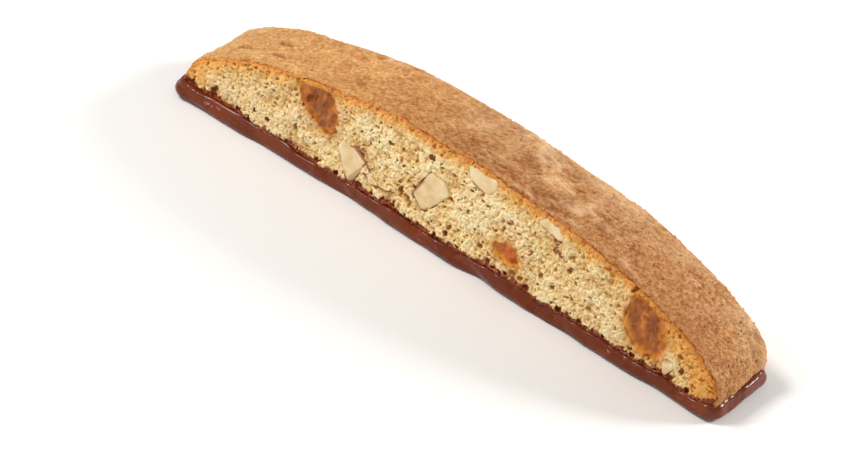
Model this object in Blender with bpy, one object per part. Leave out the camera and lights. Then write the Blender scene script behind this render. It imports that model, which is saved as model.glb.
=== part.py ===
"""One slice of almond and caramel biscotti, standing on its chocolate-dipped base.

Metres, +Z up. X runs along the slice, Y through its thickness, and the origin is the middle of the base.
The front cut face looks along -Y and the back one along +Y.
"""

import math
from collections import namedtuple

import bmesh
import bpy
from mathutils import Matrix, Vector

MM = 0.001

# The baked slice
HALF_LENGTH = 67.0 * MM
HALF_THICKNESS = 8.85 * MM
CREST_HEIGHT = 24.6 * MM
SHOULDER_HEIGHT = 5.6 * MM  # where the arch of the crust starts, at each end
ARCH_POWER = 0.56  # 0.5 would be half an ellipse
CRUST_ROUND = 0.45 * MM

# The chocolate that coats the base and comes a little way up every side
CHOCOLATE_HALF_LENGTH = 67.5 * MM
CHOCOLATE_HALF_THICKNESS = 9.2 * MM
CHOCOLATE_FLOOR = 1.3 * MM
LIP_HEIGHT = 3.2 * MM
LIP_WAVE = 0.16 * MM
LIP_CLIMB = 0.9 * MM  # how much higher it comes at the far left
CORNER_ROUND = 2.4 * MM
BASE_ROUND = 1.3 * MM
LIP_ROUND = 0.25 * MM
WALL = 0.7 * MM

GAP = 0.3 * MM  # between each piece and its neighbour
FOOT_INSET = WALL + GAP  # how far the slice's foot is stepped in from the chocolate's outside
CRUST_COVER = 0.8 * MM  # crust left over a piece that lies just under it
CARAMEL_SUNK = 0.25 * MM  # set caramel shrinks below the cut
BURIED = 0.12  # share of its depth that a piece's middle lies behind the cut

SLICE_COLUMNS, SLICE_LAYERS, SLICE_ROWS = 46, 6, 7
LEDGE_ROW = 2  # the rows below this one are the foot, inside the chocolate
CHOCOLATE_COLUMNS = 40

# A swelling or a dip of the crust: its place, how far it rises, and how wide it spreads
Lump = namedtuple("Lump", "x y rise spread")
LUMPS = (
    Lump(-16 * MM, -9 * MM, 1.2 * MM, 6 * MM),
    Lump(-21 * MM, 8 * MM, 0.5 * MM, 9 * MM),
    Lump(7 * MM, -9 * MM, 0.5 * MM, 5 * MM),
    Lump(18 * MM, 2 * MM, -0.6 * MM, 9 * MM),
    Lump(36 * MM, 6 * MM, 0.6 * MM, 6 * MM),
    Lump(-42 * MM, 7 * MM, -0.4 * MM, 7 * MM),
)

SIDES = {"front": -1, "back": 1}

# A chopped almond, in millimetres and degrees: an ellipsoid turned about Y, then trimmed by knife cuts.
# Each cut is the angle that it faces, from +X towards +Z, and its share of the way out to the edge.
Almond = namedtuple("Almond", "name x z long wide deep turn cuts")
ALMONDS = {
    "front": (
        Almond("kite", -23.4, 8.6, 11.0, 9.0, 4.6, 70, ((209, 0.52), (337, 0.63), (92, 0.73), (58, 0.67))),
        Almond("large", -4.0, 12.6, 12.0, 7.4, 5.0, 62, ((154, 0.74), (325, 0.73), (80, 0.76), (225, 0.86))),
        Almond("edge", 6.9, 22.6, 7.6, 6.6, 4.0, -25, ()),
        Almond("half", 23.9, 20.0, 6.4, 4.6, 3.4, -12, ((252, 0.34),)),
        Almond("low", 54.9, 5.9, 4.2, 3.6, 2.4, 70, ((190, 0.6), (330, 0.7))),
    ),
    "back": (
        Almond("left", -40.5, 12.6, 10.6, 7.2, 4.4, 24, ((300, 0.66), (170, 0.7))),
        Almond("high", -17.0, 18.6, 8.2, 6.4, 4.0, -12, ((95, 0.7),)),
        Almond("large", 10.5, 12.0, 12.0, 8.4, 4.8, -58, ((200, 0.62), (70, 0.78))),
        Almond("right", 47.5, 11.4, 7.4, 5.8, 3.8, 40, ((330, 0.5), (120, 0.8))),
    ),
}

# Caramel that melted in the oven: a rounded blob, turned about Y, whose edge goes in and out. Each wave
# is how many times it does so round the edge, its share of the radius, and where it is furthest out.
Caramel = namedtuple("Caramel", "name x z long wide deep turn waves")
CARAMELS = {
    "front": (
        Caramel("left", -33.4, 17.2, 12.4, 8.6, 4.4, -45, ((3, 0.08, 90), (2, 0.04, 0))),
        Caramel("small", 15.7, 9.1, 6.6, 4.4, 2.6, -14, ((3, 0.06, 200),)),
        Caramel("right", 48.5, 11.9, 15.0, 9.2, 4.8, -68, ((2, 0.03, 90), (3, 0.05, 160))),
    ),
    "back": (
        Caramel("left", -54.0, 8.8, 7.0, 5.2, 3.4, 30, ((2, 0.12, 50), (3, 0.08, 0))),
        Caramel("middle", -4.6, 8.2, 9.4, 6.2, 4.2, 8, ((3, 0.12, 70), (4, 0.05, 10))),
        Caramel("right", 30.4, 16.0, 10.2, 7.4, 4.4, -50, ((2, 0.08, 10), (3, 0.12, 150))),
    ),
}


def clear_scene():
    for obj in list(bpy.data.objects):
        bpy.data.objects.remove(obj, do_unlink=True)


def new_collection(name):
    made = bpy.data.collections.new(name)
    bpy.context.scene.collection.children.link(made)
    return made


def new_material(name, colour, roughness):
    """A Principled material of one colour."""
    made = bpy.data.materials.new(name)
    made.use_nodes = True
    shader = made.node_tree.nodes["Principled BSDF"]
    shader.inputs["Base Color"].default_value = (*colour, 1.0)
    shader.inputs["Roughness"].default_value = roughness
    shader.inputs["Metallic"].default_value = 0.0
    return made


def new_object(name, shape, collection, material=None):
    """The bmesh as an object, shaded smooth except at its sharp edges."""
    bmesh.ops.recalc_face_normals(shape, faces=shape.faces[:])
    mesh = bpy.data.meshes.new(name)
    shape.to_mesh(mesh)
    shape.free()
    mesh.shade_smooth()
    mesh.set_sharp_from_angle(angle=math.radians(35))
    obj = bpy.data.objects.new(name, mesh)
    collection.objects.link(obj)
    if material:
        mesh.materials.append(material)
    return obj


def make_cutter(obj):
    obj.hide_render = True
    obj.display_type = "WIRE"
    return obj


def cut(obj, cutter):
    """Takes the cutter's shape out of obj."""
    modifier = obj.modifiers.new("cut_" + cutter.name, "BOOLEAN")
    modifier.operation = "DIFFERENCE"
    modifier.solver = "EXACT"
    modifier.object = cutter


def round_edges(shape, edges, width, segments):
    bmesh.ops.bevel(shape, geom=edges, offset=width, segments=segments, profile=0.5, affect="EDGES")


def subdivided_box(columns, layers, rows):
    """A box from -1 to 1 each way, divided into a grid of that many cells along X, Y and Z."""
    shape = bmesh.new()
    bmesh.ops.create_cube(shape, size=2.0)
    for axis, cells in enumerate((columns, layers, rows)):
        along = [e for e in shape.edges if abs(e.verts[0].co[axis] - e.verts[1].co[axis]) > 1]
        bmesh.ops.subdivide_edges(shape, edges=along, cuts=cells - 1, use_grid_fill=True)
    return shape


def crust_height(x, y):
    """Height of the crust above the base: an arch along the slice, with its few swellings and dips."""
    share = min(1.0, abs(x) / HALF_LENGTH)
    arch = (1.0 - share**2) ** ARCH_POWER
    height = SHOULDER_HEIGHT + (CREST_HEIGHT - SHOULDER_HEIGHT) * arch
    for lump in LUMPS:
        away = ((x - lump.x) ** 2 + (y - lump.y) ** 2) / lump.spread**2
        height += lump.rise * math.exp(-away)
    return height


def lip_height(x, y):
    """Height of the chocolate's upper edge, which rises and falls round the slice."""
    climb = LIP_CLIMB * max(0.0, -x / HALF_LENGTH) ** 4
    ripple = math.sin(x * 210 + math.copysign(1.0, y)) + 0.6 * math.sin(x * 520)
    return LIP_HEIGHT + climb + LIP_WAVE * ripple


def slice_body(collection, material):
    """The baked slice: an arched block, with a foot stepped in all round to leave room for the chocolate."""
    shape = subdivided_box(SLICE_COLUMNS, SLICE_LAYERS, SLICE_ROWS)
    foot = (CHOCOLATE_HALF_LENGTH - FOOT_INSET, CHOCOLATE_HALF_THICKNESS - FOOT_INSET)
    crust = (HALF_LENGTH, HALF_THICKNESS)
    edges = [e for e in shape.edges if is_crust_edge(e)]
    for vert in shape.verts:
        u, v, w = vert.co
        row = round((w + 1) / 2 * SLICE_ROWS)
        half_length, half_thickness = foot if row < LEDGE_ROW else crust
        x = half_length * math.sin(u * math.pi / 2)  # columns crowd together towards the steep ends
        y = half_thickness * v
        z = lip_height(x, y) + GAP
        if row == 0:
            z = CHOCOLATE_FLOOR + GAP
        elif row > LEDGE_ROW:
            z += (crust_height(x, y) - z) * (row - LEDGE_ROW) / (SLICE_ROWS - LEDGE_ROW)
        vert.co = (x, y, z)
    round_edges(shape, edges, CRUST_ROUND, 2)
    return new_object("biscuit", shape, collection, material)


def is_crust_edge(edge):
    """True along the top of both cut faces, and down their ends to the ledge, in the box's own units."""
    ledge = 2 * LEDGE_ROW / SLICE_ROWS - 1
    ends = [v.co for v in edge.verts]
    on_cut = all(abs(abs(co.y) - 1) < 1e-4 for co in ends)
    on_top = all(co.z > 1 - 1e-4 for co in ends)
    on_end = all(abs(co.x) > 1 - 1e-4 and co.z > ledge - 1e-4 for co in ends)
    return on_cut and (on_top or on_end)


def rounded_block(half, corner):
    """A block that stands on z = 0, with its four upright edges rounded."""
    shape = bmesh.new()
    bmesh.ops.create_cube(shape, size=2.0)
    bmesh.ops.scale(shape, vec=half, verts=shape.verts)
    bmesh.ops.translate(shape, vec=(0, 0, half.z), verts=shape.verts)
    upright = [e for e in shape.edges if abs(e.verts[0].co.z - e.verts[1].co.z) > half.z]
    round_edges(shape, upright, corner, 4)
    return shape


def foot_cutter(collection):
    """The room that the slice's foot takes in the chocolate."""
    half = Vector((CHOCOLATE_HALF_LENGTH - WALL, CHOCOLATE_HALF_THICKNESS - WALL, LIP_HEIGHT))
    shape = rounded_block(half, FOOT_INSET)
    bmesh.ops.translate(shape, vec=(0, 0, CHOCOLATE_FLOOR), verts=shape.verts)
    return make_cutter(new_object("foot_room", shape, collection))


def chocolate_base(collection, material, room):
    """The dipped base: a low tray with round corners, a soft lower edge and a wavy lip."""
    half = Vector((CHOCOLATE_HALF_LENGTH, CHOCOLATE_HALF_THICKNESS, LIP_HEIGHT / 2))
    shape = rounded_block(half, CORNER_ROUND)
    for column in range(1, CHOCOLATE_COLUMNS):
        x = (2 * column / CHOCOLATE_COLUMNS - 1) * (CHOCOLATE_HALF_LENGTH - CORNER_ROUND)
        everything = shape.verts[:] + shape.edges[:] + shape.faces[:]
        bmesh.ops.bisect_plane(shape, geom=everything, plane_co=(x, 0, 0), plane_no=(1, 0, 0))
    rim = [e for e in shape.edges if runs_round(e, half, LIP_HEIGHT)]
    base = [e for e in shape.edges if runs_round(e, half, 0.0)]
    round_edges(shape, rim, LIP_ROUND, 2)
    round_edges(shape, base, BASE_ROUND, 3)
    for vert in shape.verts:
        lift = max(0.0, vert.co.z - BASE_ROUND) / (LIP_HEIGHT - BASE_ROUND)
        vert.co.z += lift * (lip_height(vert.co.x, vert.co.y) - LIP_HEIGHT)
    made = new_object("chocolate_base", shape, collection, material)
    cut(made, room)
    return made


def runs_round(edge, half, height):
    """True on an edge at that height that follows the tray's outside, and does not cross it."""
    middle = (edge.verts[0].co + edge.verts[1].co) / 2
    level = all(abs(v.co.z - height) < 1e-7 for v in edge.verts)
    crosses = abs(middle.y) < half.y - CORNER_ROUND and abs(middle.x) < half.x - 1e-6
    return level and not crosses


def trim(shape, point, normal):
    """Cuts off what lies beyond the plane, and closes the cut."""
    everything = shape.verts[:] + shape.edges[:] + shape.faces[:]
    done = bmesh.ops.bisect_plane(
        shape, geom=everything, plane_co=point, plane_no=normal, clear_outer=True
    )
    edges = [g for g in done["geom_cut"] if isinstance(g, bmesh.types.BMEdge)]
    if edges:
        bmesh.ops.edgenet_fill(shape, edges=edges)


def placed_ball(spec, side, grow):
    """A ball, with where its middle lies and what stretches it to size, turns it and puts it there."""
    shape = bmesh.new()
    bmesh.ops.create_uvsphere(shape, u_segments=18, v_segments=10, radius=1.0)
    half = [size / 2 * MM + grow for size in (spec.long, 2 * spec.deep, spec.wide)]
    middle = Vector((spec.x * MM, side * (HALF_THICKNESS - BURIED * spec.deep * MM), spec.z * MM))
    turn = Matrix.Rotation(-math.radians(spec.turn), 4, "Y")
    return shape, middle, Matrix.Translation(middle) @ turn @ Matrix.Diagonal((*half, 1.0))


def keep_under_crust(shape, spec, side, grow):
    """Trims a piece that would come through the crust, along the crust's slope there."""
    x, y = spec.x * MM, side * HALF_THICKNESS
    reach = spec.wide / 2 * MM
    slope = (crust_height(x + reach, y) - crust_height(x - reach, y)) / (2 * reach)
    top = min(crust_height(x + dx, y) - slope * dx for dx in (-reach, 0.0, reach))
    normal = Vector((-slope, 0, 1)).normalized()
    trim(shape, Vector((x, y, top)) - normal * (CRUST_COVER + GAP - grow), normal)


def almond(spec, side, grow):
    """A chopped almond, made larger all round by grow."""
    shape, middle, place = placed_ball(spec, side, grow)
    bmesh.ops.transform(shape, matrix=place, verts=shape.verts)
    for angle, share in spec.cuts:
        facing = Vector((math.cos(math.radians(angle)), 0, math.sin(math.radians(angle))))
        reach = max((v.co - middle).dot(facing) for v in shape.verts) - grow
        tilted = (facing - Vector((0, 0.25 * side, 0))).normalized()
        trim(shape, middle + facing * (reach * share) + tilted * grow, tilted)
    return shape


def caramel(spec, side, grow):
    """A pocket of caramel, made larger all round by grow."""
    shape, _, place = placed_ball(spec, side, grow)
    for vert in shape.verts:
        angle = math.atan2(vert.co.z, vert.co.x)
        swell = sum(size * math.cos(n * (angle - math.radians(at))) for n, size, at in spec.waves)
        vert.co.x *= 1 + swell
        vert.co.z *= 1 + swell
    bmesh.ops.transform(shape, matrix=place, verts=shape.verts)
    return shape


def add_pieces(kind, shape_of, table, sunk, parts, cutters, material, biscuit):
    """Makes every piece of one kind, and hollows out the biscuit to hold it."""
    for side_name, specs in table.items():
        side = SIDES[side_name]
        for spec in specs:
            name = f"{kind}_{side_name}_{spec.name}"
            piece = shape_of(spec, side, 0.0)
            keep_under_crust(piece, spec, side, 0.0)
            trim(piece, Vector((0, side * (HALF_THICKNESS - sunk), 0)), (0, side, 0))
            new_object(name, piece, parts, material)
            hollow = shape_of(spec, side, GAP)
            keep_under_crust(hollow, spec, side, GAP)
            cut(biscuit, make_cutter(new_object(name + "_room", hollow, cutters)))


def main():
    clear_scene()
    parts = new_collection("biscotti")
    cutters = new_collection("cutters")
    baked = new_material("baked_dough", (0.76, 0.56, 0.30), 0.85)
    chocolate = new_material("milk_chocolate", (0.17, 0.055, 0.03), 0.35)
    nut = new_material("almond_flesh", (0.80, 0.66, 0.42), 0.55)
    toffee = new_material("caramel_filling", (0.45, 0.17, 0.03), 0.2)

    biscuit = slice_body(parts, baked)
    chocolate_base(parts, chocolate, foot_cutter(cutters))
    add_pieces("almond", almond, ALMONDS, 0.0, parts, cutters, nut, biscuit)
    add_pieces("caramel", caramel, CARAMELS, CARAMEL_SUNK, parts, cutters, toffee, biscuit)


main()
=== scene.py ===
"""The looks of a slice of almond and caramel biscotti, dressed over its CAD frame.

Lengths in here are millimetres, in the frame's own axes, until a mesh is made.
"""

from math import cos, pi, radians, sin

import bmesh
import bpy
import numpy as np
from mathutils import Matrix, Vector
from mathutils.bvhtree import BVHTree


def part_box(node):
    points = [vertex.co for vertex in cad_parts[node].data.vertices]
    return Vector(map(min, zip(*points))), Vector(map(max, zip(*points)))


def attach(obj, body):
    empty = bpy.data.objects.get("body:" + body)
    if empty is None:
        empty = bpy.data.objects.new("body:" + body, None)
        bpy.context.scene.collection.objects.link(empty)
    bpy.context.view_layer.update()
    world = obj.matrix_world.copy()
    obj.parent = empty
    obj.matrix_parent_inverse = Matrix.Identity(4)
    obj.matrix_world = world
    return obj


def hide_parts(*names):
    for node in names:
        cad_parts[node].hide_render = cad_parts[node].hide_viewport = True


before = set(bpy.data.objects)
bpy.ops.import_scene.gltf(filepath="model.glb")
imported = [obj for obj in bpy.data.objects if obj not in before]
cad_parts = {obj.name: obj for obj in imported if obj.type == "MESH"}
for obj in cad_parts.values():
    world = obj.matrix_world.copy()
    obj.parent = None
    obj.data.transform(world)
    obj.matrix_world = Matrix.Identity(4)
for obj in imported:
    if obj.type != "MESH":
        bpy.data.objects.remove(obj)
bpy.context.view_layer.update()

MM = 0.001
F = np.float32
FAR = 99  # further than anything here is long


def box_mm(node):
    """A node's lowest and highest corners."""
    return [np.array(corner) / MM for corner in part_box(node)]


def cad_points(node):
    """The corners of a node's CAD mesh."""
    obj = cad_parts[node]
    return np.array([obj.matrix_world @ v.co for v in obj.data.vertices]) / MM


BISCUIT_LOW, BISCUIT_HIGH = box_mm("biscuit")
COAT_LOW, COAT_HIGH = box_mm("chocolate_base")
HALF_LENGTH = BISCUIT_HIGH[0]
CUT = BISCUIT_HIGH[1]  # how far each cut face stands from the middle
ALMONDS = sorted(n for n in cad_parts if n.startswith("almond"))
CARAMELS = sorted(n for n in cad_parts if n.startswith("caramel"))
SIDES = {"front": -1, "back": 1}

FACE_CELL = {"front": 0.17, "back": 0.27}  # size of the cells that each face's crumb is cut from
FACE_PARTS = {"front": 3, "back": 1}  # how many meshes each face's crumb is split into
SLAB_DEPTH = 1.95  # how far in the crumb is modelled; behind it there is nothing to see
SLAB_PROUD = 0.75  # how far out of the cut its grid reaches
CRUST_STEP = 0.22
PIECE_CELL = 0.2  # size of the cells that almonds and caramels are made from


# ---- noise


def table(seed, *shape):
    """Random numbers from -1 to 1."""
    return np.random.default_rng(seed).random(shape, dtype=F) * 2 - 1


def blend_weights(coordinates, scale):
    """How much of each point of a noise table is read at each coordinate."""
    place = (coordinates - coordinates.min()) / scale
    cell = np.floor(place).astype(int)
    part = place - cell
    eased = part * part * (3 - 2 * part)
    rows = np.zeros((len(place), cell.max() + 2), F)
    index = np.arange(len(place))
    rows[index, cell] = 1 - eased
    rows[index, cell + 1] = eased
    return rows


def noise(seed, axes, *lengths):
    """Smooth noise from -1 to 1 over a grid, with lumps of one length for each axis or for all."""
    weights = [blend_weights(a, length) for a, length in zip(axes, lengths * len(axes))]
    values = table(seed, *(w.shape[1] for w in weights))
    for axis, w in enumerate(weights):
        values = np.moveaxis(np.tensordot(w, values, axes=(1, axis)), 0, axis)
    return values


def layered(seed, axes, length, octaves):
    """Noise with finer noise laid over it, each half as high as the one before."""
    return sum(0.5**k * noise(seed + k, axes, length * 0.49**k) for k in range(octaves))


def mixed(seed, axes, *kinds):
    """Noises together, each given by its height and then its lengths."""
    return sum(high * noise(seed + k, axes, *lengths) for k, (high, *lengths) in enumerate(kinds))


def nearest(seed, axes, cell):
    """Distance in cells to the nearest of scattered points, one to a cell of a flat grid."""
    u, v = (a / cell for a in axes)
    span = [int(np.ptp(w)) + 4 for w in (u, v)]
    jitter = np.random.default_rng(seed).random((2, *span), dtype=F) * 0.8 + 0.1
    i = np.floor(u - u.min()).astype(int)[:, None] + 1
    j = np.floor(v - v.min()).astype(int)[None, :] + 1
    best = np.full((len(u), len(v)), 9, F)
    for di in (-1, 0, 1):
        for dj in (-1, 0, 1):
            ci, cj = i + di, j + dj
            pu = ci - 1 + jitter[0][ci, cj] - (u - u.min())[:, None]
            pv = cj - 1 + jitter[1][ci, cj] - (v - v.min())[None, :]
            best = np.minimum(best, pu * pu + pv * pv)
    return np.sqrt(best)


def rise(low, high, value):
    """0 below low, 1 above high, and an eased rise between them."""
    t = np.clip((value - low) / (high - low), 0, 1)
    return t * t * (3 - 2 * t)


# ---- meshes


def smooth_min(a, b, width):
    """The lower of the two, with the crease between them rounded off."""
    share = np.clip(0.5 + 0.5 * (b - a) / width, 0, 1)
    return b + (a - b) * share - width * share * (1 - share)


def surface_nets(field, axes):
    """Vertices and quads of the surface round where the field is above zero."""
    solid = field > 0
    size = [n - 1 for n in field.shape]
    corners = [(i, j, k) for i in (0, 1) for j in (0, 1) for k in (0, 1)]
    count = np.zeros(size, np.uint8)
    for i, j, k in corners:
        count += solid[i : size[0] + i, j : size[1] + j, k : size[2] + k]
    cells = np.argwhere((count > 0) & (count < 8))
    ids = np.full(size, -1, np.int32)
    ids[tuple(cells.T)] = np.arange(len(cells))
    value = {c: field[tuple((cells + c).T)] for c in corners}
    total = np.zeros((len(cells), 3), F)
    hits = np.zeros(len(cells), F)
    for start in corners:
        for axis in range(3):
            if start[axis]:
                continue
            end = tuple(1 if m == axis else start[m] for m in range(3))
            crosses = (value[start] > 0) != (value[end] > 0)
            part = value[start] / np.where(crosses, value[start] - value[end], 1)
            for m in range(3):
                total[:, m] += np.where(crosses, part if m == axis else start[m], 0)
            hits += crosses
    steps = np.array([a[1] - a[0] for a in axes])
    verts = np.array([a[0] for a in axes]) + (cells + total / hits[:, None]) * steps
    quads = []
    for axis in range(3):
        low = [slice(1, -1)] * 3
        high = [slice(1, -1)] * 3
        low[axis], high[axis] = slice(0, -1), slice(1, None)
        others = [m for m in range(3) if m != axis]
        for outward in (True, False):
            here, there = solid[tuple(low)], solid[tuple(high)]
            edges = np.argwhere(here & ~there if outward else there & ~here) + 1
            edges[:, axis] -= 1
            ring = []
            for back in ((0, 0), (1, 0), (1, 1), (0, 1)):
                cell = edges.copy()
                cell[:, others] -= back
                ring.append(ids[tuple(cell.T)])
            ring = np.stack(ring, 1)
            quads.append(ring[:, ::-1] if outward == (axis == 1) else ring)
    return verts, np.concatenate(quads)


def largest_part(verts, quads):
    """Leaves out every loose bit and sealed hollow."""
    label = np.arange(len(verts))
    a, b = quads.ravel(), np.roll(quads, -1, 1).ravel()
    while True:
        low = np.minimum(label[a], label[b])
        lower = label.copy()
        np.minimum.at(lower, a, low)
        np.minimum.at(lower, b, low)
        lower = lower[lower]
        if (lower == label).all():
            break
        label = lower
    keep = label == np.bincount(label).argmax()
    index = np.cumsum(keep) - 1
    return verts[keep], index[quads[keep[quads[:, 0]]]]


def wrapped(rows, columns):
    """Quads between the vertices of rows that each close on themselves."""
    index = np.arange(rows * columns).reshape(rows, columns)
    after = np.roll(index, -1, 1)
    return np.stack([index[:-1], index[1:], after[1:], after[:-1]], -1).reshape(-1, 4)


def into_scene(name, data):
    obj = bpy.data.objects.new(name, data)
    bpy.context.scene.collection.objects.link(obj)
    return obj


def new_mesh(name, verts, faces, **attributes):
    """An object from millimetre vertices and faces, with numbers stored at each vertex."""
    mesh = bpy.data.meshes.new(name)
    mesh.vertices.add(len(verts))
    mesh.vertices.foreach_set("co", (np.asarray(verts) * MM).astype(F).ravel())
    mesh.loops.add(faces.size)
    mesh.loops.foreach_set("vertex_index", faces.astype(np.int32).ravel())
    mesh.polygons.add(len(faces))
    starts = np.arange(0, faces.size, faces.shape[1], dtype=np.int32)
    mesh.polygons.foreach_set("loop_start", starts)
    mesh.update(calc_edges=True)
    for key, values in attributes.items():
        layer = mesh.attributes.new(key, "FLOAT", "POINT")
        layer.data.foreach_set("value", np.asarray(values, F).ravel())
    mesh.shade_smooth()
    return into_scene(name, mesh)


def close_openings(obj):
    """Fills each open rim with one face."""
    shape = bmesh.new()
    shape.from_mesh(obj.data)
    rims = [e for e in shape.edges if e.is_boundary]
    for face in bmesh.ops.holes_fill(shape, edges=rims, sides=0)["faces"]:
        face.smooth = False
    shape.to_mesh(obj.data)
    shape.free()


def dress(piece, material, slot, *nodes):
    """Gives a piece its finish and ties it to the frame."""
    piece.data.materials.append(material)
    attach(piece, "root")
    if nodes:
        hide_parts(*nodes)


# ---- the arch of the crust

OUTLINE_EYE = 5.0  # height of the middle that the rays come in to, which read the CAD biscuit
OUTLINE_RAYS = 721
OUTLINE_INSET = 0.6  # how far from the cuts and from the foot the first readings are
OUTLINE_STATIONS = 7
OUTLINE_POINTS = 1600
FACET_POINTS = 31  # how many points the CAD's facets are smoothed over


def cad_tree(node):
    """A node's CAD mesh, ready for rays."""
    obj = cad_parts[node]
    points = [obj.matrix_world @ v.co / MM for v in obj.data.vertices]
    return BVHTree.FromPolygons(points, [p.vertices[:] for p in obj.data.polygons])


def evenly(points, count):
    """The same line with points at even distances, and its length."""
    lengths = np.r_[0, np.cumsum(np.linalg.norm(np.diff(points, axis=0), axis=1))]
    at = np.linspace(0, lengths[-1], count)
    return np.stack([np.interp(at, lengths, column) for column in points.T], 1), lengths[-1]


def softened(line, width):
    """The same line with its facets smoothed out, and its ends where they were."""
    window = np.hanning(width + 2)[1:-1]
    window /= window.sum()
    pad = width // 2
    before, after = 2 * line[:1] - line[pad:0:-1], 2 * line[-1:] - line[-2 : -pad - 2 : -1]
    longer = np.concatenate([before, line, after])
    smooth = [np.convolve(column, window, "same") for column in longer.T]
    return np.stack(smooth, 1)[pad : pad + len(line)]


def read_outlines():
    """The crust's line in X and Z, from left to right, at stations through the thickness."""
    tree = cad_tree("biscuit")
    stations = np.linspace(-CUT + OUTLINE_INSET, CUT - OUTLINE_INSET, OUTLINE_STATIONS)
    foot = BISCUIT_LOW[2] + OUTLINE_INSET
    lines = []
    for y in stations:
        line = []
        for angle in np.linspace(pi, 0, OUTLINE_RAYS):
            out = Vector((cos(angle), 0, sin(angle)))
            hit = tree.ray_cast(Vector((0, y, OUTLINE_EYE)) + out * 200, -out)[0]
            line.append((hit.x, hit.z))
        line = np.array(line)
        line = np.concatenate([[(line[0, 0], foot)], line, [(line[-1, 0], foot)]])
        line, length = evenly(line, OUTLINE_POINTS)
        lines.append(softened(line, FACET_POINTS))
    return stations, np.array(lines), length


STATIONS, OUTLINES, ARCH_LENGTH = read_outlines()


def edge_distance(side, xs, zs):
    """How far inside the crust each point of a cut face lies."""
    line = OUTLINES[0 if side < 0 else -1]
    points = line[::2].astype(F)
    found = np.empty((len(xs), len(zs)), F)
    for start in range(0, len(xs), 32):
        rows = slice(start, start + 32)
        dx = xs[rows, None, None] - points[:, 0]
        found[rows] = np.sqrt((dx**2 + (zs[None, :, None] - points[:, 1]) ** 2).min(axis=2))
    top = np.interp(xs, line[:, 0], line[:, 1], left=-9, right=-9)
    inside = (zs[None, :] < top[:, None]) & (np.abs(xs)[:, None] < HALF_LENGTH)
    return np.where(inside, found, -found)


# ---- what lies in the cut faces


def convex_outline(points):
    """The corners of the points' hull, anticlockwise."""
    order = sorted(map(tuple, points))
    hull = []
    for walk in (order, order[::-1]):
        start = len(hull)
        for p in walk:
            while len(hull) - start >= 2:
                a, b = hull[-2], hull[-1]
                if (b[0] - a[0]) * (p[1] - a[1]) - (b[1] - a[1]) * (p[0] - a[0]) > 1e-9:
                    break
                hull.pop()
            hull.append(p)
        hull.pop()
    return np.array(hull)


def outline_distance(corners, xs, zs):
    """Distance of each grid point outside a convex outline, below zero inside."""
    along = np.roll(corners, -1, axis=0) - corners
    along /= np.linalg.norm(along, axis=1)[:, None]
    best = np.full((len(xs), len(zs)), -FAR, F)
    for (cx, cz), (ax, az) in zip(corners, along):
        outside = (xs[:, None] - cx) * az - (zs[None, :] - cz) * ax
        best = np.maximum(best, outside)
    return best


def cut_outline(node):
    """The corners of a piece where it meets its cut face, in X and Z."""
    points = cad_points(node)
    depth = np.abs(points[:, 1])
    return convex_outline(points[depth > depth.max() - 0.05][:, [0, 2]])


def sample(values, xs, zs, px, pz):
    """Reads a flat grid at any points, straight between its own."""
    u = np.clip((px - xs[0]) / (xs[1] - xs[0]), 0, len(xs) - 1.001)
    v = np.clip((pz - zs[0]) / (zs[1] - zs[0]), 0, len(zs) - 1.001)
    i, j = u.astype(int), v.astype(int)
    u, v = u - i, v - j
    low = values[i, j] * (1 - v) + values[i, j + 1] * v
    high = values[i + 1, j] * (1 - v) + values[i + 1, j + 1] * v
    return low * (1 - u) + high * u


def pieces_of(names, face):
    return [n for n in names if n.split("_")[1] == face]


def wander(face, xs, zs):
    """How far the caramels' edges wander into the crumb."""
    return 0.35 * layered(70 + SIDES[face], (xs, zs), 2.6, 3)


def caramel_distance(face, xs, zs):
    """Distance outside the nearest caramel of a cut face."""
    found = np.full((len(xs), len(zs)), FAR, F)
    for node in pieces_of(CARAMELS, face):
        found = np.minimum(found, outline_distance(cut_outline(node), xs, zs))
    return found + wander(face, xs, zs)


# ---- the chocolate's lip

COAT_CORNER = 2.4  # radius of the base's upright corners
COAT_STEP = 0.32
STRAIGHT_X = COAT_HIGH[0] - COAT_CORNER
STRAIGHT_Y = COAT_HIGH[1] - COAT_CORNER
ARC = COAT_CORNER * pi / 2
ROUND_TRIP = 4 * (STRAIGHT_X + STRAIGHT_Y + ARC)
BACK_START = 2 * STRAIGHT_X + 2 * ARC + 2 * STRAIGHT_Y


def trip(x, side):
    """How far round the base a place on a cut face lies, from the left of the front."""
    return x + STRAIGHT_X if side < 0 else BACK_START + STRAIGHT_X - x


def coat_plan(p):
    """The base's outline at distance p round it: X, Y, and the direction that faces out."""
    runs = (
        ((-1, -1), 2 * STRAIGHT_X, (1, 0)),
        ((1, -1), 2 * STRAIGHT_Y, (0, 1)),
        ((1, 1), 2 * STRAIGHT_X, (-1, 0)),
        ((-1, 1), 2 * STRAIGHT_Y, (0, -1)),
    )
    p = np.asarray(p) % ROUND_TRIP
    x, y, ox, oy = (np.zeros_like(p) for _ in range(4))
    start = 0.0
    for (cx, cy), run, (tx, ty) in runs:
        on = (p >= start) & (p < start + run)
        t = p - start
        x[on] = (cx * STRAIGHT_X + tx * t + ty * COAT_CORNER)[on]
        y[on] = (cy * STRAIGHT_Y + ty * t - tx * COAT_CORNER)[on]
        ox[on], oy[on] = ty, -tx
        start += run
        bend = (p >= start) & (p < start + ARC)
        angle = (p - start) / COAT_CORNER
        facing_x = ty * np.cos(angle) + tx * np.sin(angle)
        facing_y = -tx * np.cos(angle) + ty * np.sin(angle)
        end_x, end_y = cx * STRAIGHT_X + tx * run, cy * STRAIGHT_Y + ty * run
        x[bend] = (end_x + COAT_CORNER * facing_x)[bend]
        y[bend] = (end_y + COAT_CORNER * facing_y)[bend]
        ox[bend], oy[bend] = facing_x[bend], facing_y[bend]
        start += ARC
    return x, y, ox, oy


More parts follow.
